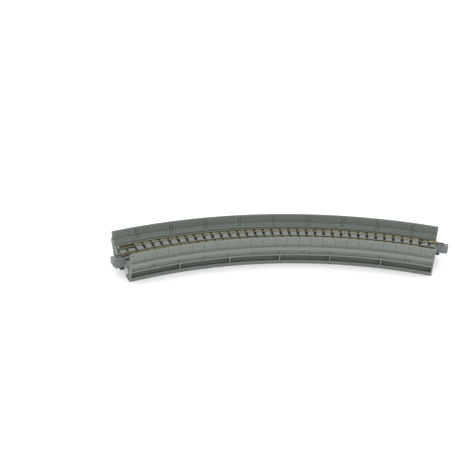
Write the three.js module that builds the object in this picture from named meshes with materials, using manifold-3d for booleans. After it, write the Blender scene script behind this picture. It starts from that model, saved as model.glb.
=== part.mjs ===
// Curved single-track viaduct section for a 9 mm gauge model railway.
//
// Units are millimetres, +Z is up. The chord of the curve runs along X, and +Y points away from
// the centre of curvature. A cross section is given as (x, z): x is the distance outside the track
// centre line and z the height above the surface the section stands on. Such an outline is swept
// round the curve from one angle to another, measured clockwise from +Y as seen from above.

import * as THREE from 'three';
import { mergeVertices } from 'three/addons/utils/BufferGeometryUtils.js';
import Module from 'manifold-3d';

const manifold = await Module();
manifold.setup();

// Driving dimensions
const trackRadius = 282;
const sectionAngle = 45;
const facetAngle = 1.875;
const gauge = 9;
const railTop = 17.05;
const fitGap = 0.05;

// Rail cross section
const railHeight = 2.05;
const railHeadWidth = 0.9;
const railHeadHeight = 0.55;
const railWebWidth = 0.5;
const railFootWidth = 1.9;
const railFootHeight = 0.35;
const railOffset = gauge / 2 + railHeadWidth / 2;

// Sleepers
const sleeperPitch = 1.2295;
const sleeperWidth = 0.86;
const sleeperHalfLength = 8.4;
const sleeperTop = railTop - railHeight - fitGap;
const sleeperDepth = 1.4;
const stripThickness = 0.5;

// Deck slab
const bandHalfWidth = 20;
const bandTop = railTop - 1.35;
const bandBottom = railTop - 4.1;
const troughFloor = sleeperTop - sleeperDepth - stripThickness - fitGap;
const slabBottom = troughFloor - 1.1;
const slabFootHalfWidth = 17.2;

// Parapets
const parapetTop = railTop + 4.85;
const parapetOuter = 18.1;
const parapetInner = 16.9;
const troughHalfWidth = parapetInner - 0.3;
const postPitch = 4.786;
const postWidth = 0.9;
const postDepth = 0.35;
const postDrop = 0.5;
const postsEachWay = 4;
const endPostWidth = 1.6;

// Kerbs: a low walkway with a raised cable trough against the parapet
const walkwayInner = 13.4;
const walkwayTop = troughFloor + 1.25;
const cableTroughWidth = 1.3;

// Girders
const webInner = 12.4;
const webOuter = 14.2;
const topChordOuter = 16.9;
const ledgeTop = railTop - 7.75;
const ledgeBottom = railTop - 8.95;
const ledgeOuter = 17.8;
const flangeTop = 2.75;
const flangeOuterTop = 15.4;
const flangeOuterBottom = 15;
const flangeInner = 8.3;
const flangeInnerTop = 2.4;
const flangeChamferTop = 3.9;
const ribWidth = 0.9;
const upperRibPitch = 3.75;
const upperRibsEachWay = 5;
const upperRibReach = 19.4;
const lowerRibPitch = 7.5;
const lowerRibsEachWay = 2;
const lowerRibReach = 16.4;
const ribRoot = webOuter - 0.3;

// Sockets for the rail joiners
const socketWidth = 5.6;
const socketDepth = 12;
const socketFrameDepth = 13.6;
const socketFrameBottom = railTop - 9.3;
const socketFrameHalfWidth = webInner - 0.15;

// Cross ribs between the girders
const crossRibPitch = 6.4;
const crossRibsEachWay = 2;
const crossRibWidth = 1.2;
const crossRibBottom = railTop - 9;

// Joiners
const housingWidth = 5;
const housingInside = 9;
const housingOutside = 8.3;
const housingTop = railTop - 2.15;
const housingBottom = railTop - 7.5;
const noseDrop = 0.6;
const catchWidth = 2.2;
const catchGap = 0.3;
const catchOutside = 6.6;
const catchBottom = railTop - 9.2;
const toeOutside = 3.4;
const toeBottom = railTop - 11.2;
const shoeInside = 5;
const shoeOutside = 5;
const shoeThickness = 0.3;
const shoeGap = 0.15;
const shoeGrooveGap = 0.1;

const radians = THREE.MathUtils.degToRad;
const halfAngle = sectionAngle / 2;

// Materials

const plasticGrey = { color: 0x828a82, roughness: 0.6, metalness: 0 };
const sleeperGrey = { color: 0x807f80, roughness: 0.65, metalness: 0 };
const joinerGrey = { color: 0x7c848c, roughness: 0.5, metalness: 0 };
const railMetal = { color: 0xa39a80, roughness: 0.3, metalness: 1 };

const section = new THREE.Group();

function addPiece(name, geometry, finish) {
  const mesh = new THREE.Mesh(geometry, new THREE.MeshStandardMaterial(finish));
  mesh.name = name;
  section.add(mesh);
}

// Geometry helpers

// Angle in degrees that an arc of this length spans on the track centre line.
function angleOf(length) {
  return THREE.MathUtils.radToDeg(length / trackRadius);
}

// Outline mirrored to the outer side (+1) or the inner side (-1) of the track.
function onSide(side, outline) {
  return outline.map(([x, z]) => [side * x, z]);
}

// Wraps a straight extrusion, whose z is an angle in radians, round the centre of curvature.
function bend(geometry) {
  const position = geometry.getAttribute('position');
  for (let i = 0; i < position.count; i += 1) {
    const radius = trackRadius + position.getX(i);
    const height = position.getY(i);
    const angle = position.getZ(i);
    position.setXYZ(i, radius * Math.sin(angle), radius * Math.cos(angle) - trackRadius, height);
  }
  geometry.computeVertexNormals();
  return geometry;
}

// Sweeps a closed outline of [x, z] points round the curve between two angles in degrees.
function arcSweep(outline, from, to) {
  const shape = new THREE.Shape(outline.map(([x, z]) => new THREE.Vector2(x, z)));
  const steps = Math.max(1, Math.round((to - from) / facetAngle));
  const geometry = new THREE.ExtrudeGeometry(shape, {
    depth: radians(to - from),
    steps,
    bevelEnabled: false,
  });
  geometry.translate(0, 0, radians(from));
  return bend(geometry);
}

function rectangle(x0, x1, z0, z1) {
  return [[x0, z0], [x1, z0], [x1, z1], [x0, z1]];
}

// A thin plate across the track, its outline in the cross section, centred on an angle.
function crossPlate(outline, angle, width) {
  const half = angleOf(width) / 2;
  return arcSweep(outline, angle - half, angle + half);
}

// Places a piece modelled beside the end of the section. Its x runs along the track with 0 at the
// end plane, and y runs away from the centre of curvature with 0 on the track centre line.
function atEnd(geometry, end) {
  geometry.translate(0, trackRadius, 0);
  geometry.rotateZ(-end * radians(halfAngle));
  geometry.translate(0, -trackRadius, 0);
  return geometry;
}

// A box beside an end. "out" distances are measured from the end plane, positive outwards.
function endBox(end, out0, out1, y0, y1, z0, z1) {
  const geometry = new THREE.BoxGeometry(out1 - out0, y1 - y0, z1 - z0);
  geometry.translate(end * (out0 + out1) / 2, (y0 + y1) / 2, (z0 + z1) / 2);
  return atEnd(geometry, end);
}

function toSolid(geometry) {
  const bare = new THREE.BufferGeometry();
  bare.setAttribute('position', geometry.getAttribute('position').clone());
  if (geometry.index) bare.setIndex(geometry.index.clone());
  const merged = mergeVertices(bare, 1e-5);
  return new manifold.Manifold(new manifold.Mesh({
    numProp: 3,
    vertProperties: new Float32Array(merged.getAttribute('position').array),
    triVerts: new Uint32Array(merged.index.array),
  }));
}

function toGeometry(solid) {
  const mesh = solid.getMesh();
  const geometry = new THREE.BufferGeometry();
  geometry.setAttribute('position', new THREE.BufferAttribute(mesh.vertProperties, 3));
  geometry.setIndex(new THREE.BufferAttribute(mesh.triVerts, 1));
  geometry.computeVertexNormals();
  return geometry;
}

function join(geometries) {
  return toGeometry(geometries.map(toSolid).reduce((whole, piece) => whole.add(piece)));
}

function cut(geometry, tools) {
  return toGeometry(tools.map(toSolid).reduce((whole, tool) => whole.subtract(tool), toSolid(geometry)));
}

// Sockets

// The space of one joiner socket, open at the end plane, above and below.
function socketSpace(end, side) {
  const centre = side * railOffset;
  const half = socketWidth / 2;
  return endBox(end, -socketDepth, 1, centre - half, centre + half, 0, railTop);
}

function allSockets() {
  return [-1, 1].flatMap((end) => [-1, 1].map((side) => socketSpace(end, side)));
}

// Deck

function deckSlab() {
  const half = [
    [slabFootHalfWidth, slabBottom],
    [slabFootHalfWidth, bandBottom],
    [bandHalfWidth, bandBottom],
    [bandHalfWidth, bandTop],
    [troughHalfWidth, bandTop],
    [troughHalfWidth, troughFloor],
  ];
  const outline = [...half, ...onSide(-1, half).reverse()];
  return cut(arcSweep(outline, -halfAngle, halfAngle), allSockets());
}

function sleeperAngles() {
  const angles = [];
  const eachWay = Math.floor(halfAngle / sleeperPitch);
  for (let i = -eachWay; i <= eachWay; i += 1) angles.push(i * sleeperPitch);
  return angles;
}

// Sleepers standing on a thin strip. The first and last are cut off by the end planes.
function sleeperStrip() {
  const bottom = sleeperTop - sleeperDepth - stripThickness;
  const stripTop = sleeperTop - sleeperDepth;
  const bar = rectangle(-sleeperHalfLength, sleeperHalfLength, stripTop - fitGap, sleeperTop);
  const sleepers = sleeperAngles().map((angle) => arcSweep(
    bar,
    Math.max(angle - sleeperWidth / 2, -halfAngle),
    Math.min(angle + sleeperWidth / 2, halfAngle),
  ));
  const base = rectangle(-sleeperHalfLength, sleeperHalfLength, bottom, stripTop);
  return cut(join([arcSweep(base, -halfAngle, halfAngle), ...sleepers]), allSockets());
}

function kerb(side) {
  const base = troughFloor + fitGap;
  const outer = troughHalfWidth - fitGap;
  const top = bandTop - fitGap;
  const outline = [
    [walkwayInner, base],
    [outer, base],
    [outer, top],
    [outer - cableTroughWidth, top],
    [outer - cableTroughWidth, walkwayTop],
    [walkwayInner, walkwayTop],
  ];
  return arcSweep(onSide(side, outline), -halfAngle, halfAngle);
}

// Parapets

function parapet(side) {
  const base = bandTop + fitGap;
  const wall = rectangle(parapetInner, parapetOuter, base, parapetTop);
  const post = onSide(side, rectangle(
    parapetInner - postDepth,
    parapetInner + postDepth,
    base,
    parapetTop - postDrop,
  ));
  const posts = [];
  for (let i = -postsEachWay; i <= postsEachWay; i += 1) {
    posts.push(crossPlate(post, i * postPitch, postWidth));
  }
  for (const end of [-1, 1]) {
    const centre = end * (halfAngle - angleOf(endPostWidth) / 2);
    posts.push(crossPlate(post, centre, endPostWidth));
  }
  return join([arcSweep(onSide(side, wall), -halfAngle, halfAngle), ...posts]);
}

// Girders

function ribAngles(pitch, eachWay) {
  const endAngle = halfAngle - angleOf(ribWidth) / 2;
  const angles = [-endAngle, endAngle];
  for (let i = -eachWay; i <= eachWay; i += 1) angles.push(i * pitch);
  return angles;
}

function girder(side) {
  const top = slabBottom - fitGap;
  const ribTop = bandBottom - fitGap;
  const beam = [
    [webInner, top],
    [webInner, flangeChamferTop],
    [flangeInner, flangeInnerTop],
    [flangeInner, 0],
    [flangeOuterBottom, 0],
    [flangeOuterTop, flangeTop],
    [webOuter, flangeTop],
    [webOuter, ledgeBottom],
    [ledgeOuter, ledgeBottom],
    [ledgeOuter, ledgeTop],
    [topChordOuter, ledgeTop],
    [topChordOuter, top],
  ];
  const clearOfSlab = slabFootHalfWidth + fitGap;
  const bracket = [
    [ribRoot, top],
    [ribRoot, ledgeTop - fitGap],
    [ledgeOuter, ledgeTop - fitGap],
    [upperRibReach, ribTop],
    [clearOfSlab, ribTop],
    [clearOfSlab, top],
  ];
  const stiffener = [
    [ribRoot, flangeTop - fitGap],
    [flangeOuterTop - fitGap, flangeTop - fitGap],
    [lowerRibReach, ledgeBottom + fitGap],
    [ribRoot, ledgeBottom + fitGap],
  ];
  const brackets = ribAngles(upperRibPitch, upperRibsEachWay)
    .map((angle) => crossPlate(onSide(side, bracket), angle, ribWidth));
  const stiffeners = ribAngles(lowerRibPitch, lowerRibsEachWay)
    .map((angle) => crossPlate(onSide(side, stiffener), angle, ribWidth));
  return join([
    arcSweep(onSide(side, beam), -halfAngle, halfAngle),
    ...brackets,
    ...stiffeners,
  ]);
}

// Cross members

// Comb-shaped frame under the slab: a back wall with cheeks either side of each joiner socket.
function socketFrame(end) {
  const top = slabBottom - fitGap;
  const block = rectangle(-socketFrameHalfWidth, socketFrameHalfWidth, socketFrameBottom, top);
  const span = angleOf(socketFrameDepth);
  const solid = end < 0
    ? arcSweep(block, -halfAngle, -halfAngle + span)
    : arcSweep(block, halfAngle - span, halfAngle);
  return cut(solid, [-1, 1].map((side) => socketSpace(end, side)));
}

function crossRib(index) {
  const half = socketFrameHalfWidth;
  const outline = rectangle(-half, half, crossRibBottom, slabBottom - fitGap);
  return crossPlate(outline, index * crossRibPitch, crossRibWidth);
}

// Rails

function rail(side) {
  const foot = railTop - railHeight;
  const outline = [
    [railFootWidth / 2, foot],
    [railFootWidth / 2, foot + railFootHeight],
    [railWebWidth / 2, foot + railFootHeight],
    [railWebWidth / 2, railTop - railHeadHeight],
    [railHeadWidth / 2, railTop - railHeadHeight],
    [railHeadWidth / 2, railTop],
  ];
  const whole = [...outline, ...onSide(-1, outline).reverse()];
  const placed = whole.map(([x, z]) => [x + side * railOffset, z]);
  return arcSweep(placed, -halfAngle, halfAngle);
}

// Joiners

// Plastic housing: its inner half fills the socket, its outer half enters the next section.
function joinerHousing(end, side) {
  const centre = side * railOffset;
  const half = housingWidth / 2;
  const nose = new THREE.Shape([
    new THREE.Vector2(-housingInside, housingBottom),
    new THREE.Vector2(housingOutside - noseDrop, housingBottom),
    new THREE.Vector2(housingOutside, housingBottom + noseDrop),
    new THREE.Vector2(housingOutside, housingTop),
    new THREE.Vector2(-housingInside, housingTop),
  ]);
  const body = new THREE.ExtrudeGeometry(nose, { depth: housingWidth, bevelEnabled: false });
  body.rotateX(Math.PI / 2);
  body.translate(0, centre + half, 0);
  if (end < 0) body.rotateZ(Math.PI).translate(0, 2 * centre, 0);
  const outerFace = centre + side * half;
  const catchFace = outerFace - side * catchWidth;
  const near = Math.min(outerFace, catchFace);
  const far = Math.max(outerFace, catchFace);
  const overlap = housingBottom + fitGap;
  const catchBar = endBox(end, catchGap, catchOutside, near, far, catchBottom, overlap);
  const toe = endBox(end, catchGap, toeOutside, near, far, toeBottom, overlap);
  const grooveHalf = railFootWidth / 2 + shoeGap + shoeThickness + shoeGrooveGap;
  const grooveFloor = railTop - railHeight - shoeGap - shoeThickness - shoeGrooveGap;
  const groove = endBox(
    end, -housingInside - 1, shoeOutside + shoeGrooveGap,
    centre - grooveHalf, centre + grooveHalf,
    grooveFloor, railTop,
  );
  return cut(join([atEnd(body, end), catchBar, toe]), [groove]);
}

// Bent metal shoe, a channel whose lips close over the rail foot.
function joinerShoe(end, side) {
  const centre = side * railOffset;
  const innerHalf = railFootWidth / 2 + shoeGap;
  const outerHalf = innerHalf + shoeThickness;
  const floorTop = railTop - railHeight - shoeGap;
  const lipBottom = railTop - railHeight + railFootHeight + shoeGap;
  const lipHalf = railWebWidth / 2 + 2 * shoeGap;
  const block = endBox(
    end, -shoeInside, shoeOutside,
    centre - outerHalf, centre + outerHalf,
    floorTop - shoeThickness, lipBottom + shoeThickness,
  );
  const footSpace = endBox(
    end, -shoeInside - 1, shoeOutside + 1,
    centre - innerHalf, centre + innerHalf, floorTop, lipBottom,
  );
  const webSpace = endBox(
    end, -shoeInside - 1, shoeOutside + 1,
    centre - lipHalf, centre + lipHalf, floorTop, railTop,
  );
  return cut(block, [footSpace, webSpace]);
}

// Assembly

const sideNames = [['inner', -1], ['outer', 1]];
const endNames = [['left', -1], ['right', 1]];

addPiece('deck_slab', deckSlab(), plasticGrey);
addPiece('sleeper_strip', sleeperStrip(), sleeperGrey);
for (const [name, side] of sideNames) {
  addPiece(`${name}_parapet`, parapet(side), plasticGrey);
  addPiece(`${name}_girder`, girder(side), plasticGrey);
  addPiece(`${name}_kerb`, kerb(side), plasticGrey);
  addPiece(`${name}_rail`, rail(side), railMetal);
}
for (let i = -crossRibsEachWay; i <= crossRibsEachWay; i += 1) {
  addPiece(`cross_rib_${i + crossRibsEachWay + 1}`, crossRib(i), plasticGrey);
}
// Each end carries one joiner: on the inner rail at the left end, on the outer rail at the right.
for (const [name, end] of endNames) {
  addPiece(`${name}_socket_frame`, socketFrame(end), plasticGrey);
  addPiece(`${name}_joiner_housing`, joinerHousing(end, end), joinerGrey);
  addPiece(`${name}_joiner_shoe`, joinerShoe(end, end), railMetal);
}

// The origin is the middle of the bounding box's lower face.
const box = new THREE.Box3().setFromObject(section);
const centre = box.getCenter(new THREE.Vector3());
section.position.set(-centre.x, -centre.y, -box.min.z);
section.updateMatrixWorld(true);

export default section;
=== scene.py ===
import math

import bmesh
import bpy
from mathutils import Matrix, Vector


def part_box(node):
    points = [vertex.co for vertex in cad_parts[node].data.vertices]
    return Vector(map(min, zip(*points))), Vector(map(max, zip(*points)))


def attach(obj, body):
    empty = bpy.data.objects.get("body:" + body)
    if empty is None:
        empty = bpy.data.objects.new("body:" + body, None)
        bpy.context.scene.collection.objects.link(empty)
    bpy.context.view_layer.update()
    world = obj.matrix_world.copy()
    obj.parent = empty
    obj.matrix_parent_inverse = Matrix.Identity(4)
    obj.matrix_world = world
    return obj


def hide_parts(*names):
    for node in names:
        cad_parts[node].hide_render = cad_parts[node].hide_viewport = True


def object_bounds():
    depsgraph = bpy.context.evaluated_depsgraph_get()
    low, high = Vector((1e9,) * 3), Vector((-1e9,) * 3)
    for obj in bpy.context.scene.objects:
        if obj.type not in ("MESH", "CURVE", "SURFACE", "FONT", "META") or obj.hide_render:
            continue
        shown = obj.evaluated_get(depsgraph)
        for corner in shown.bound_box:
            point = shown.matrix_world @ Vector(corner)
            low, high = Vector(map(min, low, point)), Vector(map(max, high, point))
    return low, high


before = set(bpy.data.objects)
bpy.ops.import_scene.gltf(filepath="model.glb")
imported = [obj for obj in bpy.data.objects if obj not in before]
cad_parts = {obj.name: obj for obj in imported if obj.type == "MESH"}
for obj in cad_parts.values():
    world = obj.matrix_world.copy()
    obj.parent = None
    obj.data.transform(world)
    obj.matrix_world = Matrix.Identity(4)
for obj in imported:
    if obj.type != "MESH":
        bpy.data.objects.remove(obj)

# A curved single-track viaduct section for a 9 mm gauge model railway: the detailed pieces, their
# materials, a pale floor, soft light and the camera. Lengths are in metres, written in millimetres
# with "* mm". A cross section is a list of (side, height) points: side is the distance outside the
# track centre line. Such an outline is swept round the curve, whose angles run clockwise from +Y.

mm = 0.001
cad_low, cad_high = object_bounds()

# Driving dimensions, read from the frame where a node's box gives them

HALF_ANGLE = math.radians(22.5)
FOOT_WIDTH = 1.9 * mm
SWEEP_STEP = math.radians(0.75)
SEAM = 0.05 * mm
EDGE_ROUND = 0.14 * mm
END_CHAMFER = 0.1 * mm
CUTTER_CHAMFER = 0.01 * mm
CUTTER_OVERRUN = 1 * mm
SHORTEST_STEP = 0.15 * mm
SHARP_ANGLE = math.radians(32)


def arc_radius(node):
    """Outer radius of a node that is swept over the whole section."""
    low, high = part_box(node)
    return (high.x - low.x) / 2 / math.sin(HALF_ANGLE)


inner_foot_radius = arc_radius("inner_rail")
outer_foot_radius = arc_radius("outer_rail")
TRACK_RADIUS = (inner_foot_radius + outer_foot_radius - FOOT_WIDTH) / 2
RAIL_OFFSET = (outer_foot_radius - inner_foot_radius) / 2
wall_low, wall_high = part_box("outer_parapet")
CURVE_CENTRE = Vector(((wall_low.x + wall_high.x) / 2, wall_high.y - arc_radius("outer_parapet"), 0))
WALL_OUTER = arc_radius("outer_parapet") - TRACK_RADIUS
WALL_BASE = wall_low.z
WALL_TOP = wall_high.z
WALL_THICKNESS = 1.2 * mm
WALL_INNER = WALL_OUTER - WALL_THICKNESS
deck_low, deck_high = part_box("deck_slab")
BAND_OUTER = arc_radius("deck_slab") - TRACK_RADIUS
BAND_TOP = deck_high.z
BAND_HEIGHT = 2.75 * mm
DECK_BOTTOM = deck_low.z
WALL_LEDGE = 0.3 * mm
TROUGH_HALF = WALL_INNER - WALL_LEDGE
kerb_low, kerb_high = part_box("outer_kerb")
TROUGH_FLOOR = kerb_low.z - SEAM
KERB_TOP = kerb_high.z
rail_low, rail_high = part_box("outer_rail")
RAIL_FOOT = rail_low.z
RAIL_TOP = rail_high.z
strip_low, strip_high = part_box("sleeper_strip")
SLEEPER_TOP = strip_high.z
SLEEPER_HALF = arc_radius("sleeper_strip") - TRACK_RADIUS

CATCH_BOTTOM = RAIL_TOP - 9.2 * mm

SIDES = (("inner", -1), ("outer", 1))
ENDS = (("left", -1), ("right", 1))


# Geometry helpers

def arc_angle(length):
    """Angle that an arc of this length spans on the track centre line."""
    return length / TRACK_RADIUS


def on_curve(side, height, angle):
    radius = TRACK_RADIUS + side
    return CURVE_CENTRE + Vector((radius * math.sin(angle), radius * math.cos(angle), height))


def at_end(end, out, side, height):
    """A point beside an end: out is measured from the end plane outwards, along the rails."""
    angle = end * HALF_ANGLE
    outward = Vector((end * math.cos(angle), -end * math.sin(angle), 0))
    radial = Vector((math.sin(angle), math.cos(angle), 0))
    return CURVE_CENTRE + radial * (TRACK_RADIUS + side) + outward * out + Vector((0, 0, height))


def mirrored(outline, side):
    return [(side * x, z) for x, z in outline]


def rectangle(x0, x1, z0, z1):
    return [(x0, z0), (x1, z0), (x1, z1), (x0, z1)]


def rounded(outline, radius=EDGE_ROUND, steps=2):
    """The outline with each corner replaced by a short curve of steps + 1 points."""
    points = []
    count = len(outline)
    for i in range(count):
        corner = Vector(outline[i])
        before = Vector(outline[i - 1]) - corner
        after = Vector(outline[(i + 1) % count]) - corner
        start = corner + before.normalized() * min(radius, before.length * 0.45)
        end = corner + after.normalized() * min(radius, after.length * 0.45)
        for step in range(steps + 1):
            t = step / steps
            point = start * (1 - t) ** 2 + corner * 2 * t * (1 - t) + end * t ** 2
            points.append((point.x, point.y))
    return points


def shrunk(outline, distance):
    """The outline moved inwards by a distance, along the normal at each point."""
    count = len(outline)
    area = sum(
        outline[i - 1][0] * outline[i][1] - outline[i][0] * outline[i - 1][1] for i in range(count)
    )
    turn = 1 if area > 0 else -1
    points = []
    for i in range(count):
        along = Vector(outline[(i + 1) % count]) - Vector(outline[i - 1])
        inward = Vector((-along.y, along.x)).normalized() * turn
        points.append((outline[i][0] + inward.x * distance, outline[i][1] + inward.y * distance))
    return points


def add_skin(mesh, rings):
    """Closes a row of equal rings of points into a solid with flat ends."""
    loops = [[mesh.verts.new(point) for point in ring] for ring in rings]
    for first, second in zip(loops, loops[1:]):
        for i in range(len(first)):
            mesh.faces.new((first[i - 1], first[i], second[i], second[i - 1]))
    mesh.faces.new(loops[0][::-1])
    mesh.faces.new(loops[-1])


def sweep_angles(start, end, extra=()):
    """Evenly spread angles from start to end, with the extra ones that a detail needs."""
    steps = max(1, math.ceil((end - start) / SWEEP_STEP))
    regular = [start + (end - start) * i / steps for i in range(steps + 1)]
    needed = sorted(a for a in extra if start < a < end)
    near = arc_angle(SHORTEST_STEP)
    kept = [a for a in regular if all(abs(a - b) > near for b in needed)]
    return sorted(kept + needed)


def add_sweep(mesh, outline, start, end, extra=(), chamfer=END_CHAMFER):
    """Sweeps an outline, or a function from angle to outline, with small chamfers at both ends."""
    def outline_at(angle):
        return outline(angle) if callable(outline) else outline

    angles = sweep_angles(start, end, extra)
    inset = arc_angle(chamfer)
    inside = [a for a in angles if start + inset * 2 < a < end - inset * 2]
    sections = [(start, shrunk(outline_at(start), chamfer)), (start + inset, outline_at(start))]
    sections += [(a, outline_at(a)) for a in inside]
    sections += [(end - inset, outline_at(end)), (end, shrunk(outline_at(end), chamfer))]
    add_skin(mesh, [[on_curve(x, z, a) for x, z in ring] for a, ring in sections])


def add_end_bar(mesh, end, outline, out0, out1, chamfer=END_CHAMFER):
    """A straight bar beside an end: an outline of (side, height) drawn out along the rails."""
    sections = [
        (out0, shrunk(outline, chamfer)),
        (out0 + chamfer, outline),
        (out1 - chamfer, outline),
        (out1, shrunk(outline, chamfer)),
    ]
    add_skin(mesh, [[at_end(end, out, x, z) for x, z in points] for out, points in sections])


def add_end_box(mesh, end, out0, out1, side0, side1, low, high, radius=EDGE_ROUND):
    add_end_bar(mesh, end, rounded(rectangle(side0, side1, low, high), radius), out0, out1, radius / 2)


def new_object(name, build):
    """A new mesh object filled by build(bmesh)."""
    mesh = bmesh.new()
    build(mesh)
    bmesh.ops.recalc_face_normals(mesh, faces=mesh.faces)
    data = bpy.data.meshes.new(name)
    mesh.to_mesh(data)
    mesh.free()
    piece = bpy.data.objects.new(name, data)
    bpy.context.scene.collection.objects.link(piece)
    return piece


def combine(piece, build_tool, operation):
    """Joins the tool's solids to the piece, or cuts them from it."""
    tool = new_object("tool", build_tool)
    modifier = piece.modifiers.new("combine", "BOOLEAN")
    modifier.operation = operation
    modifier.solver = "EXACT"
    modifier.object = tool
    evaluated = piece.evaluated_get(bpy.context.evaluated_depsgraph_get())
    result = bpy.data.meshes.new_from_object(evaluated)
    piece.modifiers.clear()
    piece.data = result
    bpy.data.objects.remove(tool)


def smooth_surfaces(piece):
    """Smooth shading that keeps every corner sharper than SHARP_ANGLE."""
    mesh = bmesh.new()
    mesh.from_mesh(piece.data)
    bmesh.ops.remove_doubles(mesh, verts=mesh.verts, dist=0.0005 * mm)
    for face in mesh.faces:
        face.smooth = True
    for edge in mesh.edges:
        edge.smooth = edge.is_manifold and edge.calc_face_angle(0) < SHARP_ANGLE
    mesh.to_mesh(piece.data)
    mesh.free()


def place(piece, body, slot, material, *nodes):
    smooth_surfaces(piece)
    piece.data.materials.clear()
    piece.data.materials.append(material)
    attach(piece, body)
    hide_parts(*nodes)


# Materials

class Surface:
    """A node material on one Principled shader, with helpers that add and link nodes."""

    def __init__(self, name):
        self.material = bpy.data.materials.new(name)
        self.material.use_nodes = True
        self.tree = self.material.node_tree
        self.shader = self.tree.nodes["Principled BSDF"]
        self.position = self.node("ShaderNodeTexCoord").outputs["Object"]

    def node(self, kind, **settings):
        made = self.tree.nodes.new(kind)
        for key, value in settings.items():
            setattr(made, key, value)
        return made

    def link(self, source, target):
        self.tree.links.new(source, target)

    def set(self, name, value):
        self.shader.inputs[name].default_value = value

    def math(self, operation, first, second=None):
        made = self.node("ShaderNodeMath", operation=operation)
        for socket, value in zip(made.inputs, (first, second)):
            if isinstance(value, (int, float)):
                socket.default_value = value
            elif value is not None:
                self.link(value, socket)
        return made.outputs[0]

    def split(self, vector):
        """The sockets X, Y and Z of a vector."""
        parts = self.node("ShaderNodeSeparateXYZ")
        self.link(vector, parts.inputs[0])
        return parts.outputs

    def curve_position(self):
        """Position as (length along the curve, distance from its centre, height)."""
        parts = self.split(self.position)
        x = self.math("SUBTRACT", parts["X"], CURVE_CENTRE.x)
        y = self.math("SUBTRACT", parts["Y"], CURVE_CENTRE.y)
        along = self.math("MULTIPLY", self.math("ARCTAN2", x, y), TRACK_RADIUS)
        squares = self.math("ADD", self.math("MULTIPLY", x, x), self.math("MULTIPLY", y, y))
        whole = self.node("ShaderNodeCombineXYZ")
        self.link(along, whole.inputs["X"])
        self.link(self.math("SQRT", squares), whole.inputs["Y"])
        self.link(parts["Z"], whole.inputs["Z"])
        return whole.outputs[0]

    def noise(self, source, size, detail=3, stretch=(1, 1, 1)):
        """Noise with features of a given size in metres, stretched along the source's axes."""
        scaled = self.node("ShaderNodeVectorMath", operation="MULTIPLY")
        self.link(source, scaled.inputs[0])
        scaled.inputs[1].default_value = [1 / size / s for s in stretch]
        made = self.node("ShaderNodeTexNoise")
        made.inputs["Scale"].default_value = 1
        made.inputs["Detail"].default_value = detail
        self.link(scaled.outputs[0], made.inputs["Vector"])
        return made.outputs["Fac"]

    def spread(self, source, low, high, from_low=0.3, from_high=0.7):
        made = self.node("ShaderNodeMapRange")
        self.link(source, made.inputs["Value"])
        made.inputs["From Min"].default_value = from_low
        made.inputs["From Max"].default_value = from_high
        made.inputs["To Min"].default_value = low
        made.inputs["To Max"].default_value = high
        return made.outputs[0]

    def shade(self, colour, *factors):
        """The colour, multiplied by every factor."""
        factor = factors[0]
        for other in factors[1:]:
            factor = self.math("MULTIPLY", factor, other)
        scaled = self.node("ShaderNodeVectorMath", operation="SCALE")
        if isinstance(colour, tuple):
            scaled.inputs[0].default_value = colour
        else:
            self.link(colour, scaled.inputs[0])
        self.link(factor, scaled.inputs["Scale"])
        return scaled.outputs[0]

    def blend(self, factor, first, second):
        mixed = self.node("ShaderNodeMix", data_type="RGBA")
        self.link(factor, mixed.inputs["Factor"])
        mixed.inputs["A"].default_value = (*first, 1)
        mixed.inputs["B"].default_value = (*second, 1)
        return mixed.outputs["Result"]

    def edge_wear_and_corner_shade(self, low, high):
        """Lighter along raised edges as wear, and darker in corners as painted shade."""
        pointiness = self.node("ShaderNodeNewGeometry").outputs["Pointiness"]
        return self.spread(pointiness, low, high, 0.42, 0.58)

    def bumps(self, *layers):
        """Bump layers of (height, depth in metres), one on top of the other."""
        normal = None
        for height, depth in layers:
            bump = self.node("ShaderNodeBump")
            bump.inputs["Strength"].default_value = 1
            bump.inputs["Distance"].default_value = depth
            self.link(height, bump.inputs["Height"])
            if normal is not None:
                self.link(normal, bump.inputs["Normal"])
            normal = bump.outputs[0]
        self.link(normal, self.shader.inputs["Normal"])


def plastic(name, colour, roughness, grain_stretch, grain_size, painted_shade_by_height=None, painted_shade_in_recess=None):
    """Moulded plastic: faint clouding, a fine matt grain and flow marks along the moulding.

    Each of the two optional shade arguments is (start, end, factor) and paints shade: the colour rises
    from the factor at the start to full strength at the end, by height for the first and by distance from
    the centre line for the second.
    """
    surface = Surface(name)
    curve = surface.curve_position()
    clouds = surface.noise(curve, 14 * mm, 4)
    mottle = surface.noise(curve, 1.6 * mm, 3)
    grain = surface.noise(curve, grain_size, 4, grain_stretch)
    speckle = surface.noise(surface.position, 0.12 * mm, 2)
    tint = surface.blend(clouds, tuple(c * 0.97 for c in colour), tuple(c * 1.03 for c in colour))
    factors = [
        surface.spread(mottle, 0.95, 1.05),
        surface.spread(grain, 0.96, 1.04),
        # edge wear, with painted shade in the corners
        surface.edge_wear_and_corner_shade(0.84, 1.12),
    ]
    parts = surface.split(curve)
    # painted shade by height: darker towards the bottom of the band
    if painted_shade_by_height:
        start, end, factor = painted_shade_by_height
        factors.append(surface.spread(parts["Z"], factor, 1, start, end))
    # painted shade in the recess: darker further in from the outer edges
    if painted_shade_in_recess:
        start, end, factor = painted_shade_in_recess
        side = surface.math("SUBTRACT", parts["Y"], TRACK_RADIUS)
        factors.append(surface.spread(surface.math("ABSOLUTE", side), factor, 1, start, end))
    surface.link(surface.shade(tint, *factors), surface.shader.inputs["Base Color"])
    surface.link(
        surface.spread(mottle, roughness - 0.06, roughness + 0.08),
        surface.shader.inputs["Roughness"],
    )
    surface.bumps((grain, 0.012 * mm), (speckle, 0.005 * mm))
    surface.set("Specular IOR Level", 0.4)
    return surface.material


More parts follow.
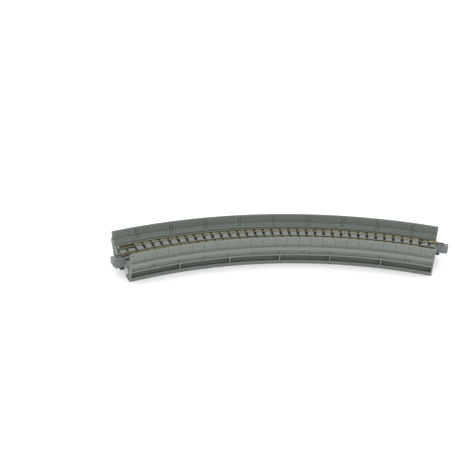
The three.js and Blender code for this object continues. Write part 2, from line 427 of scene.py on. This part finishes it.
def metal_surface(name, bright, tarnished, roughness):
    """Drawn metal strip with fine lines along its length and patches of tarnish."""
    surface = Surface(name)
    curve = surface.curve_position()
    lines = surface.noise(curve, 0.08 * mm, 3, (60, 1, 1))
    patches = surface.noise(curve, 5 * mm, 4, (3, 1, 1))
    specks = surface.noise(surface.position, 0.3 * mm, 2)
    tint = surface.blend(surface.spread(patches, 0, 1), bright, tarnished)
    surface.link(
        surface.shade(tint, surface.spread(lines, 0.92, 1.06), surface.spread(specks, 0.96, 1.03)),
        surface.shader.inputs["Base Color"],
    )
    surface.link(
        surface.spread(lines, roughness - 0.06, roughness + 0.1),
        surface.shader.inputs["Roughness"],
    )
    surface.bumps((lines, 0.004 * mm))
    surface.set("Metallic", 1.0)
    return surface


def metal_with_painted_dark_ends(name, bright, painted_dark, roughness, low, high):
    """Bright metal between two heights; above them the head gets a dark colour as painted shade and
    painted reflection, and below them the foot is darker too.
    """
    surface = metal_surface(name, bright, tuple(c * 0.9 for c in bright), roughness)
    height = surface.split(surface.position)["Z"]
    blend_height = 0.05 * mm
    over_low = surface.spread(height, 0, 1, low, low + blend_height)
    under_high = surface.spread(height, 1, 0, high - blend_height, high)
    is_bright = surface.math("MULTIPLY", over_low, under_high)
    base = surface.shader.inputs["Base Color"]
    polished = base.links[0].from_socket
    mixed = surface.node("ShaderNodeMix", data_type="RGBA")
    surface.link(is_bright, mixed.inputs["Factor"])
    dark = surface.noise(surface.curve_position(), 1.2 * mm, 3, (6, 1, 1))
    surface.link(surface.shade(painted_dark, surface.spread(dark, 0.85, 1.15)), mixed.inputs["A"])
    surface.link(polished, mixed.inputs["B"])
    surface.link(mixed.outputs["Result"], base)
    return surface.material


VIADUCT_LOOK = ((0.107, 0.122, 0.107), 0.52, (12, 1, 1), 0.35 * mm)

viaduct_plastic = plastic("viaduct_plastic", *VIADUCT_LOOK)
# The girder gets painted shade in its recess, darker inwards of 15.8 mm from the centre line.
girder_plastic = plastic("girder_plastic", *VIADUCT_LOOK, painted_shade_in_recess=(14 * mm, 15.8 * mm, 0.5))
# The sleepers get painted shade down their sides, into the gaps between them.
sleeper_plastic = plastic(
    "sleeper_plastic", (0.115, 0.127, 0.121), 0.6, (1, 10, 1), 0.25 * mm,
    (SLEEPER_TOP - 0.9 * mm, SLEEPER_TOP - 0.2 * mm, 0.2),
)
# The joiner gets painted shade on its toe, below the catch's lower edge.
joiner_plastic = plastic(
    "joiner_plastic", (0.097, 0.108, 0.111), 0.45, (8, 1, 1), 0.3 * mm,
    (CATCH_BOTTOM - 0.2 * mm, CATCH_BOTTOM + 0.2 * mm, 0.25),
)
# The rail's head gets a dark colour as painted shade and painted reflection, and its foot is darker too;
# only the web between stays bright metal.
rail_metal = metal_with_painted_dark_ends(
    "rail_metal", (0.95, 0.89, 0.69), (0.125, 0.12, 0.072), 0.1,
    RAIL_FOOT + 0.3 * mm, RAIL_TOP - 0.6 * mm,
)
shoe_metal = metal_surface("shoe_metal", (0.2, 0.19, 0.15), (0.15, 0.14, 0.11), 0.35).material


# Parapets

PANEL_COUNT = 25
PANEL_MARGIN = 1.5 * mm
GROOVE_WIDTH = 0.34 * mm
GROOVE_DEPTH = 0.22 * mm
GROOVE_EDGE = 0.06 * mm
BASE_LINE_DEPTH = 0.08 * mm
BASE_LINE_RISE = 0.15 * mm
COPING_HEIGHT = 0.7 * mm
WALL_ROUND = 0.1 * mm
POST_PITCH = math.radians(4.786)
POSTS_EACH_WAY = 4
POST_WIDTH = 0.9 * mm
POST_DEPTH = 0.35 * mm
POST_DROP = 0.5 * mm
POST_GROOVE_WIDTH = 0.45 * mm
POST_GROOVE_DEPTH = 0.4 * mm
POST_RELIEF_WIDTH = POST_WIDTH + 2 * POST_GROOVE_WIDTH + 2 * GROOVE_EDGE
END_POST_WIDTH = 1.6 * mm
ANGLE_SLACK = 1e-7

panel_half = HALF_ANGLE - PANEL_MARGIN / (TRACK_RADIUS - WALL_OUTER)
groove_angles = [panel_half * (2 * i / PANEL_COUNT - 1) for i in range(PANEL_COUNT + 1)]
post_angles = [i * POST_PITCH for i in range(-POSTS_EACH_WAY, POSTS_EACH_WAY + 1)]


def is_within(angle, centres, width):
    return any(abs(angle - centre) <= arc_angle(width) / 2 + ANGLE_SLACK for centre in centres)


def feature_breaks(centres, width, edge):
    """Angles just inside and just outside both edges of each feature."""
    half = arc_angle(width) / 2
    rim = arc_angle(edge)
    return [c + s * d for c in centres for s in (-1, 1) for d in (half, half + rim)]


def post_relief(angle):
    """How far the inner face stands proud at an angle: posts, with a groove on both sides."""
    if is_within(angle, post_angles, POST_WIDTH):
        return POST_DEPTH
    if HALF_ANGLE - abs(angle) <= arc_angle(END_POST_WIDTH) + ANGLE_SLACK:
        return POST_DEPTH
    if is_within(angle, post_angles, POST_RELIEF_WIDTH):
        return -POST_GROOVE_DEPTH
    return 0


def post_breaks():
    """Angles where the relief of the inner face changes."""
    rim = arc_angle(GROOVE_EDGE)
    end_post = HALF_ANGLE - arc_angle(END_POST_WIDTH)
    breaks = feature_breaks(post_angles, POST_WIDTH, GROOVE_EDGE)
    breaks += feature_breaks(post_angles, POST_RELIEF_WIDTH, GROOVE_EDGE)
    return breaks + [-end_post, -end_post + rim, end_post - rim, end_post]


def wall_outline(side, angle):
    """The wall's cross section: panel grooves outside, posts inside."""
    grooved = is_within(angle, groove_angles, GROOVE_WIDTH)
    face = WALL_OUTER - (GROOVE_DEPTH if grooved else 0)
    back = WALL_INNER - post_relief(angle)
    line_low = WALL_BASE + BASE_LINE_RISE
    line_high = line_low + GROOVE_WIDTH
    coping = WALL_TOP - COPING_HEIGHT
    shoulder = WALL_TOP - POST_DROP
    points = [
        (back, WALL_BASE),
        (WALL_OUTER, WALL_BASE),
        (WALL_OUTER, line_low),
        (WALL_OUTER - BASE_LINE_DEPTH, line_low + GROOVE_EDGE),
        (WALL_OUTER - BASE_LINE_DEPTH, line_high - GROOVE_EDGE),
        (face, line_high),
        (face, coping),
        (WALL_OUTER, coping + GROOVE_EDGE),
        (WALL_OUTER, WALL_TOP),
        (WALL_INNER, WALL_TOP),
        (WALL_INNER, shoulder + POST_DEPTH / 2),
        (back, shoulder),
    ]
    return mirrored(rounded(points, WALL_ROUND), side)


def build_parapet(name, side):
    breaks = feature_breaks(groove_angles, GROOVE_WIDTH, GROOVE_EDGE) + post_breaks()
    piece = new_object(
        f"{name}_parapet_wall",
        lambda mesh: add_sweep(
            mesh, lambda angle: wall_outline(side, angle), -HALF_ANGLE, HALF_ANGLE, breaks
        ),
    )
    place(piece, "viaduct", "viaduct_plastic", viaduct_plastic, f"{name}_parapet")


# Deck

SOCKET_WIDTH = 5.6 * mm
SOCKET_DEPTH = 12 * mm
DECK_FOOT_HALF = 17.2 * mm


def add_socket_cutters(mesh, low, high, ends=(-1, 1)):
    half = SOCKET_WIDTH / 2
    for end in ends:
        for side in (-1, 1):
            centre = side * RAIL_OFFSET
            outline = rectangle(centre - half, centre + half, low, high)
            add_end_bar(mesh, end, outline, -SOCKET_DEPTH, CUTTER_OVERRUN, CUTTER_CHAMFER)


def build_deck():
    band_bottom = BAND_TOP - BAND_HEIGHT
    half = [
        (DECK_FOOT_HALF, DECK_BOTTOM),
        (DECK_FOOT_HALF, band_bottom),
        (BAND_OUTER, band_bottom),
        (BAND_OUTER, BAND_TOP),
        (TROUGH_HALF, BAND_TOP),
        (TROUGH_HALF, TROUGH_FLOOR),
    ]
    outline = rounded(half + mirrored(half, -1)[::-1])
    piece = new_object("deck", lambda mesh: add_sweep(mesh, outline, -HALF_ANGLE, HALF_ANGLE))
    combine(piece, lambda mesh: add_socket_cutters(mesh, 0, RAIL_TOP), "DIFFERENCE")
    place(piece, "viaduct", "viaduct_plastic", viaduct_plastic, "deck_slab")


# Walkways with the cable trough against the parapet

WALKWAY_INNER = 13.4 * mm
WALKWAY_TOP = TROUGH_FLOOR + 1.25 * mm
CABLE_TROUGH_WIDTH = 1.3 * mm


def walkway_outline(side, angle):
    """Walkway and cable trough, with the parapet's posts carried down over the trough."""
    outer = TROUGH_HALF - SEAM
    inner = outer - CABLE_TROUGH_WIDTH - 2 * post_relief(angle)
    base = TROUGH_FLOOR + SEAM
    outline = [
        (WALKWAY_INNER, base),
        (outer, base),
        (outer, KERB_TOP),
        (inner, KERB_TOP),
        (inner, WALKWAY_TOP),
        (WALKWAY_INNER, WALKWAY_TOP),
    ]
    return mirrored(rounded(outline), side)


def build_walkway(name, side):
    piece = new_object(
        f"{name}_walkway",
        lambda mesh: add_sweep(
            mesh, lambda angle: walkway_outline(side, angle), -HALF_ANGLE, HALF_ANGLE, post_breaks()
        ),
    )
    place(piece, "viaduct", "viaduct_plastic", viaduct_plastic, f"{name}_kerb")


# Sleepers

SLEEPER_PITCH = math.radians(1.2295)
SLEEPER_WIDTH = math.radians(0.86)
SLEEPER_DEPTH = 1.4 * mm
SLEEPERS_EACH_WAY = int(HALF_ANGLE / SLEEPER_PITCH)
SLEEPER_FLARE = 0.12 * mm
SLEEPER_ROOT = 0.2 * mm
SLEEPER_EDGE = 0.15 * mm
SLEEPER_CHAMFER = 0.12 * mm
CENTRE_DISH = 0.12 * mm
DISH_FLAT = 1.2 * mm
DISH_END = 2.6 * mm
CHAIR_WIDTH = 0.75 * mm
CHAIR_LENGTH = 1.5 * mm
CHAIR_HEIGHT = 0.4 * mm
CHAIR_ROOT = 0.1 * mm
CHAIR_CHAMFER = 0.12 * mm


def add_sleeper(mesh, start, end, from_side, to_side):
    """A sleeper block between two angles, slightly dished between the rails."""
    low = SLEEPER_TOP - SLEEPER_DEPTH - SLEEPER_ROOT
    flare = arc_angle(SLEEPER_FLARE)
    soft = arc_angle(SLEEPER_EDGE)
    first = from_side + SLEEPER_CHAMFER
    last = to_side - SLEEPER_CHAMFER
    dish_edges = [s * d for s in (-1, 1) for d in (DISH_FLAT, DISH_END)]
    stations = [from_side, first, last, to_side]
    stations += [x for x in dish_edges if first < x < last]
    rings = []
    for x in sorted(stations):
        is_tip = x in (from_side, to_side)
        dish = CENTRE_DISH if abs(x) <= DISH_FLAT else 0
        top = SLEEPER_TOP - dish - (SLEEPER_CHAMFER if is_tip else 0)
        rings.append([
            on_curve(x, low, start - flare),
            on_curve(x, top - SLEEPER_EDGE, start),
            on_curve(x, top, start + soft),
            on_curve(x, top, end - soft),
            on_curve(x, top - SLEEPER_EDGE, end),
            on_curve(x, low, end + flare),
        ])
    add_skin(mesh, rings)


def add_chair(mesh, side, angle):
    """The small moulded clip that holds the rail foot on one side."""
    foot = CHAIR_WIDTH / 2
    crown = foot * 0.5
    base = SLEEPER_TOP - CHAIR_ROOT
    top = SLEEPER_TOP + CHAIR_HEIGHT
    outline = rounded([
        (side - foot, base),
        (side + foot, base),
        (side + crown, top),
        (side - crown, top),
    ])
    half = arc_angle(CHAIR_LENGTH) / 2
    add_sweep(mesh, outline, angle - half, angle + half, chamfer=CHAIR_CHAMFER)


def build_sleepers():
    socket_inner = RAIL_OFFSET - SOCKET_WIDTH / 2
    socket_outer = RAIL_OFFSET + SOCKET_WIDTH / 2
    whole = [(-SLEEPER_HALF, SLEEPER_HALF)]
    split = [
        (-SLEEPER_HALF, -socket_outer),
        (-socket_inner, socket_inner),
        (socket_outer, SLEEPER_HALF),
    ]
    flare = arc_angle(SLEEPER_FLARE)

    def build(mesh):
        for i in range(-SLEEPERS_EACH_WAY, SLEEPERS_EACH_WAY + 1):
            angle = i * SLEEPER_PITCH
            start = max(angle - SLEEPER_WIDTH / 2, -HALF_ANGLE + flare)
            end = min(angle + SLEEPER_WIDTH / 2, HALF_ANGLE - flare)
            in_socket = HALF_ANGLE - abs(angle) < arc_angle(SOCKET_DEPTH)
            for from_side, to_side in split if in_socket else whole:
                add_sleeper(mesh, start, end, from_side, to_side)
            if in_socket:
                continue
            for rail_side in (-1, 1):
                for foot_side in (-1, 1):
                    reach = FOOT_WIDTH / 2 + CHAIR_WIDTH / 2
                    add_chair(mesh, rail_side * RAIL_OFFSET + foot_side * reach, angle)

    piece = new_object("sleepers", build)
    place(piece, "viaduct", "sleeper_plastic", sleeper_plastic, "sleeper_strip")


def build_sleeper_bed():
    """The thin web that ties the sleepers together, cut away at the sockets."""
    low = strip_low.z
    high = SLEEPER_TOP - SLEEPER_DEPTH
    outline = rounded(rectangle(-SLEEPER_HALF, SLEEPER_HALF, low, high))
    piece = new_object("sleeper_bed", lambda mesh: add_sweep(mesh, outline, -HALF_ANGLE, HALF_ANGLE))
    combine(piece, lambda mesh: add_socket_cutters(mesh, 0, RAIL_TOP), "DIFFERENCE")
    place(piece, "viaduct", "sleeper_plastic", sleeper_plastic, "sleeper_strip")


# Rails

HEAD_WIDTH = 0.9 * mm
HEAD_HEIGHT = 0.55 * mm
WEB_WIDTH = 0.7 * mm
FOOT_EDGE = 0.15 * mm
FOOT_CROWN = 0.25 * mm
HEAD_SLOPE_LOW = 0.1 * mm
HEAD_SLOPE_HIGH = 0.05 * mm
RAIL_ROUND = 0.12 * mm
RAIL_CHAMFER = 0.06 * mm


def rail_outline():
    """Rail cross section with a rounded head, a narrow web and a sloped foot."""
    half = [
        (FOOT_WIDTH / 2, RAIL_FOOT),
        (FOOT_WIDTH / 2, RAIL_FOOT + FOOT_EDGE),
        (WEB_WIDTH / 2, RAIL_FOOT + FOOT_CROWN),
        (WEB_WIDTH / 2, RAIL_TOP - HEAD_HEIGHT - HEAD_SLOPE_LOW),
        (HEAD_WIDTH / 2, RAIL_TOP - HEAD_HEIGHT + HEAD_SLOPE_HIGH),
        (HEAD_WIDTH / 2, RAIL_TOP),
    ]
    return rounded(half + mirrored(half, -1)[::-1], RAIL_ROUND, 3)


def build_rail(name, side):
    outline = [(x + side * RAIL_OFFSET, z) for x, z in rail_outline()]
    piece = new_object(
        f"{name}_running_rail",
        lambda mesh: add_sweep(mesh, outline, -HALF_ANGLE, HALF_ANGLE, chamfer=RAIL_CHAMFER),
    )
    place(piece, "viaduct", "rail_metal", rail_metal, f"{name}_rail")


# Girders

GIRDER_TOP = DECK_BOTTOM - SEAM
RIB_TOP = BAND_TOP - BAND_HEIGHT - SEAM
WEB_INNER = 12.4 * mm
WEB_OUTER = 13.2 * mm
TOP_CHORD_OUTER = 16.9 * mm
LEDGE_TOP = RAIL_TOP - 7.75 * mm
LEDGE_BOTTOM = RAIL_TOP - 8.95 * mm
LEDGE_OUTER = 17.8 * mm
FLANGE_TOP = 2.75 * mm
FLANGE_OUTER_TOP = 15.4 * mm
FLANGE_OUTER_BOTTOM = 15 * mm
FLANGE_INNER = 8.3 * mm
FLANGE_INNER_TOP = 2.4 * mm
FLANGE_CHAMFER_TOP = 3.9 * mm
RIB_WIDTH = 0.9 * mm
UPPER_RIB_PITCH = math.radians(3.75)
UPPER_RIBS_EACH_WAY = 5
UPPER_RIB_REACH = 19.4 * mm
LOWER_RIB_PITCH = math.radians(7.5)
LOWER_RIBS_EACH_WAY = 2
LOWER_RIB_REACH = 17.2 * mm
RIB_ROOT = WEB_OUTER - 0.3 * mm
RIB_CHAMFER = 0.08 * mm


def rib_angles(pitch, each_way):
    end = HALF_ANGLE - arc_angle(RIB_WIDTH) / 2
    return [-end, *(i * pitch for i in range(-each_way, each_way + 1)), end]


def add_rib(mesh, outline, angle):
    half = arc_angle(RIB_WIDTH) / 2
    add_sweep(mesh, outline, angle - half, angle + half, chamfer=RIB_CHAMFER)


def build_girder(name, side):
    beam = [
        (WEB_INNER, GIRDER_TOP),
        (WEB_INNER, FLANGE_CHAMFER_TOP),
        (FLANGE_INNER, FLANGE_INNER_TOP),
        (FLANGE_INNER, 0),
        (FLANGE_OUTER_BOTTOM, 0),
        (FLANGE_OUTER_TOP, FLANGE_TOP),
        (WEB_OUTER, FLANGE_TOP),
        (WEB_OUTER, LEDGE_BOTTOM),
        (LEDGE_OUTER, LEDGE_BOTTOM),
        (LEDGE_OUTER, LEDGE_TOP),
        (TOP_CHORD_OUTER, LEDGE_TOP),
        (TOP_CHORD_OUTER, GIRDER_TOP),
    ]
    clear_of_deck = DECK_FOOT_HALF + SEAM
    sunk = 0.1 * mm
    bracket = [
        (RIB_ROOT, GIRDER_TOP),
        (RIB_ROOT, LEDGE_TOP - sunk),
        (LEDGE_OUTER - sunk, LEDGE_TOP - sunk),
        (UPPER_RIB_REACH, RIB_TOP),
        (clear_of_deck, RIB_TOP),
        (clear_of_deck, GIRDER_TOP),
    ]
    stiffener = [
        (RIB_ROOT, FLANGE_TOP - sunk),
        (FLANGE_OUTER_TOP - sunk, FLANGE_TOP - sunk),
        (LOWER_RIB_REACH, LEDGE_BOTTOM + sunk),
        (RIB_ROOT, LEDGE_BOTTOM + sunk),
    ]

    def add_ribs(mesh):
        for angle in rib_angles(UPPER_RIB_PITCH, UPPER_RIBS_EACH_WAY):
            add_rib(mesh, mirrored(bracket, side), angle)
        for angle in rib_angles(LOWER_RIB_PITCH, LOWER_RIBS_EACH_WAY):
            add_rib(mesh, mirrored(stiffener, side), angle)

    outline = mirrored(rounded(beam), side)
    piece = new_object(
        f"{name}_ribbed_girder", lambda mesh: add_sweep(mesh, outline, -HALF_ANGLE, HALF_ANGLE)
    )
    combine(piece, add_ribs, "UNION")
    place(piece, "viaduct", "viaduct_plastic", girder_plastic, f"{name}_girder")


# Cross members under the deck

CROSS_GAP = 0.15 * mm
CROSS_HALF = WEB_INNER - CROSS_GAP
CROSS_RIB_PITCH = math.radians(6.4)
CROSS_RIBS_EACH_WAY = 2
CROSS_RIB_WIDTH = 1.2 * mm
SOCKET_FRAME_DEPTH = 13.6 * mm
POCKET_WALL = 0.9 * mm
POCKET_ROOF = 1.2 * mm
POCKET_BACK = 0.3 * mm
POCKET_FRONT = 1.3 * mm


def build_cross_rib(index):
    name = f"cross_rib_{index + CROSS_RIBS_EACH_WAY + 1}"
    low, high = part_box(name)
    outline = rounded(rectangle(-CROSS_HALF, CROSS_HALF, low.z, high.z))
    half = arc_angle(CROSS_RIB_WIDTH) / 2
    angle = index * CROSS_RIB_PITCH
    piece = new_object(
        f"deck_beam_{index + CROSS_RIBS_EACH_WAY + 1}",
        lambda mesh: add_sweep(mesh, outline, angle - half, angle + half),
    )
    place(piece, "viaduct", "viaduct_plastic", viaduct_plastic, name)


def build_socket_frame(name, end):
    """Back wall and cheeks round the two joiner sockets, hollowed from below."""
    node = f"{name}_socket_frame"
    low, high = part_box(node)
    outline = rounded(rectangle(-CROSS_HALF, CROSS_HALF, low.z, high.z))
    span = arc_angle(SOCKET_FRAME_DEPTH)
    start = -HALF_ANGLE if end < 0 else HALF_ANGLE - span
    piece = new_object(f"{name}_socket_block", lambda mesh: add_sweep(mesh, outline, start, start + span))
    inner = RAIL_OFFSET - SOCKET_WIDTH / 2
    outer = RAIL_OFFSET + SOCKET_WIDTH / 2

    def add_cutters(mesh):
        add_socket_cutters(mesh, 0, RAIL_TOP, (end,))
        pockets = [(-inner, inner), (outer, CROSS_HALF), (-CROSS_HALF, -outer)]
        for side0, side1 in pockets:
            add_end_bar(
                mesh, end,
                rectangle(side0 + POCKET_WALL, side1 - POCKET_WALL, 0, high.z - POCKET_ROOF),
                -SOCKET_DEPTH + POCKET_BACK, -POCKET_FRONT, CUTTER_CHAMFER,
            )

    combine(piece, add_cutters, "DIFFERENCE")
    place(piece, "viaduct", "viaduct_plastic", viaduct_plastic, node)


# Joiners

HOUSING_WIDTH = 5 * mm
HOUSING_INSIDE = 9 * mm
HOUSING_OUTSIDE = 8.3 * mm
HOUSING_BOTTOM = RAIL_TOP - 7.5 * mm
HOUSING_ROUND = 0.2 * mm
HOUSING_CHAMFER = 0.12 * mm
NOSE_DROP = 0.6 * mm
CATCH_WIDTH = 2.2 * mm
CATCH_GAP = 0.3 * mm
CATCH_OUTSIDE = 6.6 * mm
CATCH_OVERLAP = 0.4 * mm
TOE_OUTSIDE = 3.4 * mm
TOE_INSET = 0.01 * mm
SHOE_REACH = 5 * mm
SHOE_THICKNESS = 0.3 * mm
SHOE_GAP = 0.15 * mm
SHOE_GROOVE_GAP = 0.1 * mm
SHOE_ROUND = 0.12 * mm
SHOE_CHAMFER = 0.03 * mm
GAP_DEPTH = 1.1 * mm
MARK_DEPTH = 0.35 * mm
MARK_START = 0.2 * mm
MARK_END = 0.9 * mm


def build_joiner_housing(name, end):
    """Plastic block that slides in the socket, with a stepped catch below its outer half."""
    node = f"{name}_joiner_housing"
    low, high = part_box(node)
    centre = end * RAIL_OFFSET
    half = HOUSING_WIDTH / 2
    top = high.z
    side_view = rounded([
        (-HOUSING_INSIDE, HOUSING_BOTTOM),
        (HOUSING_OUTSIDE - NOSE_DROP, HOUSING_BOTTOM),
        (HOUSING_OUTSIDE, HOUSING_BOTTOM + NOSE_DROP),
        (HOUSING_OUTSIDE, top),
        (-HOUSING_INSIDE, top),
    ], HOUSING_ROUND)

    def build(mesh):
        sections = [
            (centre - half, shrunk(side_view, HOUSING_CHAMFER)),
            (centre - half + HOUSING_CHAMFER, side_view),
            (centre + half - HOUSING_CHAMFER, side_view),
            (centre + half, shrunk(side_view, HOUSING_CHAMFER)),
        ]
        add_skin(mesh, [[at_end(end, out, side, z) for out, z in points] for side, points in sections])

    outer_face = centre + end * half
    near, far = sorted((outer_face, outer_face - end * CATCH_WIDTH))

    def add_catch(mesh):
        catch_top = HOUSING_BOTTOM + CATCH_OVERLAP
        add_end_box(mesh, end, CATCH_GAP, CATCH_OUTSIDE, near, far, CATCH_BOTTOM, catch_top)

    def add_toe(mesh):
        add_end_box(
            mesh, end,
            CATCH_GAP + TOE_INSET, TOE_OUTSIDE,
            near + TOE_INSET, far - TOE_INSET,
            low.z, CATCH_BOTTOM + CATCH_OVERLAP,
        )

    groove_half = FOOT_WIDTH / 2 + SHOE_GAP + SHOE_THICKNESS + SHOE_GROOVE_GAP
    groove_floor = RAIL_FOOT - SHOE_GAP - SHOE_THICKNESS - SHOE_GROOVE_GAP
    first_gap = TRACK_RADIUS * (HALF_ANGLE - SLEEPERS_EACH_WAY * SLEEPER_PITCH + SLEEPER_WIDTH / 2)
    gap_length = TRACK_RADIUS * (SLEEPER_PITCH - SLEEPER_WIDTH)

    def cut(half_width, floor, out0, out1):
        outline = rectangle(centre - half_width, centre + half_width, floor, RAIL_TOP)
        combine(
            piece,
            lambda mesh: add_end_bar(mesh, end, outline, out0, out1, CUTTER_CHAMFER),
            "DIFFERENCE",
        )

    piece = new_object(f"{name}_joiner_block", build)
    combine(piece, add_catch, "UNION")
    combine(piece, add_toe, "UNION")
    cut(groove_half, groove_floor, -HOUSING_INSIDE - CUTTER_OVERRUN, SHOE_REACH + SHOE_GROOVE_GAP)
    cut(half + CUTTER_OVERRUN, top - GAP_DEPTH, -first_gap - gap_length, -first_gap)
    cut(half + CUTTER_OVERRUN, top - MARK_DEPTH, MARK_START, MARK_END)
    place(piece, f"{name}_joiner", "joiner_plastic", joiner_plastic, node)


def build_joiner_shoe(name, end):
    """Bent metal channel that grips the rail foot."""
    node = f"{name}_joiner_shoe"
    low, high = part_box(node)
    centre = end * RAIL_OFFSET
    outer = FOOT_WIDTH / 2 + SHOE_GAP + SHOE_THICKNESS
    lip = WEB_WIDTH / 2 + 2 * SHOE_GAP
    inside = outer - SHOE_THICKNESS
    floor = low.z + SHOE_THICKNESS
    roof = high.z - SHOE_THICKNESS
    half = [
        (outer, low.z),
        (outer, high.z),
        (lip, high.z),
        (lip, roof),
        (inside, roof),
        (inside, floor),
    ]
    channel = rounded([(x + centre, z) for x, z in half + mirrored(half, -1)[::-1]], SHOE_ROUND)
    piece = new_object(
        f"{name}_metal_shoe",
        lambda mesh: add_end_bar(mesh, end, channel, -SHOE_REACH, SHOE_REACH, SHOE_CHAMFER),
    )
    place(piece, f"{name}_joiner", "rail_metal", shoe_metal, node)


build_deck()
build_sleepers()
build_sleeper_bed()
for side_name, side_sign in SIDES:
    build_parapet(side_name, side_sign)
    build_walkway(side_name, side_sign)
    build_rail(side_name, side_sign)
    build_girder(side_name, side_sign)
for rib_index in range(-CROSS_RIBS_EACH_WAY, CROSS_RIBS_EACH_WAY + 1):
    build_cross_rib(rib_index)
for end_name, end_sign in ENDS:
    build_socket_frame(end_name, end_sign)
    build_joiner_housing(end_name, end_sign)
    build_joiner_shoe(end_name, end_sign)


# Floor, light and camera

FLOOR_HALF = 3.0
FLOOR_COLOUR = (0.78, 0.78, 0.78)
WORLD_STRENGTH = 2.45
BACK_SHARE = 0.62
TOP_SHARE = 0.8
KEY_POWER = 2.0
KEY_SIZE = 0.5
KEY_PLACE = Vector((-0.15, -0.75, 0.6))


def build_floor():
    data = bpy.data.meshes.new("floor")
    corners = rectangle(-FLOOR_HALF, FLOOR_HALF, -FLOOR_HALF, FLOOR_HALF)
    data.from_pydata([(x, y, cad_low.z - SEAM) for x, y in corners], [], [(0, 1, 2, 3)])
    floor = bpy.data.objects.new("floor", data)
    bpy.context.scene.collection.objects.link(floor)
    surface = Surface("floor_paper")
    surface.set("Roughness", 0.9)
    surface.set("Specular IOR Level", 0.1)
    fibres = surface.noise(surface.position, 0.6 * mm, 3)
    surface.link(
        surface.shade(FLOOR_COLOUR, surface.spread(fibres, 0.995, 1.005)),
        surface.shader.inputs["Base Color"],
    )
    data.materials.append(surface.material)


def build_light():
    world = bpy.data.worlds.new("studio")
    world.use_nodes = True
    background = world.node_tree.nodes["Background"]
    background.inputs["Color"].default_value = (1, 1, 1, 1)
    tree = world.node_tree
    parts = tree.nodes.new("ShaderNodeSeparateXYZ")
    tree.links.new(tree.nodes.new("ShaderNodeTexCoord").outputs["Generated"], parts.inputs[0])
    level = tree.nodes.new("ShaderNodeMath")
    level.operation = "MULTIPLY"
    for socket, axis, (start, end), (low, high) in (
        (level.inputs[0], "Y", (-1, 1), (WORLD_STRENGTH, WORLD_STRENGTH * BACK_SHARE)),
        (level.inputs[1], "Z", (0, 1), (1, TOP_SHARE)),
    ):
        ramp = tree.nodes.new("ShaderNodeMapRange")
        tree.links.new(parts.outputs[axis], ramp.inputs["Value"])
        ramp.inputs["From Min"].default_value = start
        ramp.inputs["From Max"].default_value = end
        ramp.inputs["To Min"].default_value = low
        ramp.inputs["To Max"].default_value = high
        tree.links.new(ramp.outputs[0], socket)
    tree.links.new(level.outputs[0], background.inputs["Strength"])
    bpy.context.scene.world = world
    light = bpy.data.lights.new("softbox", "AREA")
    light.shape = "DISK"
    light.size = KEY_SIZE
    light.energy = KEY_POWER
    lamp = bpy.data.objects.new("softbox", light)
    lamp.location = KEY_PLACE
    lamp.rotation_mode = "QUATERNION"
    lamp.rotation_quaternion = (-KEY_PLACE).to_track_quat("-Z", "Y")
    bpy.context.scene.collection.objects.link(lamp)


EYE = Vector((-83.9, -425.4, 254.3)) * mm
EYE_YAW = math.radians(6.196)
EYE_PITCH = math.radians(28.06)
EYE_ROLL = math.radians(-2.134)
FOCAL_LENGTH = 56.47
SENSOR_WIDTH = 36


def build_camera():
    data = bpy.data.cameras.new("camera")
    data.lens = FOCAL_LENGTH
    data.sensor_width = SENSOR_WIDTH
    data.clip_start = 0.01
    camera = bpy.data.objects.new("camera", data)
    forward = Vector((
        math.sin(EYE_YAW) * math.cos(EYE_PITCH),
        math.cos(EYE_YAW) * math.cos(EYE_PITCH),
        -math.sin(EYE_PITCH),
    ))
    level = Vector((math.cos(EYE_YAW), -math.sin(EYE_YAW), 0))
    down = forward.cross(level)
    right = level * math.cos(EYE_ROLL) + down * math.sin(EYE_ROLL)
    up = level * math.sin(EYE_ROLL) - down * math.cos(EYE_ROLL)
    camera.matrix_world = Matrix.Translation(EYE) @ Matrix((right, up, -forward)).transposed().to_4x4()
    bpy.context.scene.collection.objects.link(camera)
    bpy.context.scene.camera = camera


build_floor()
build_light()
build_camera()
bpy.context.scene.view_settings.view_transform = "Standard"
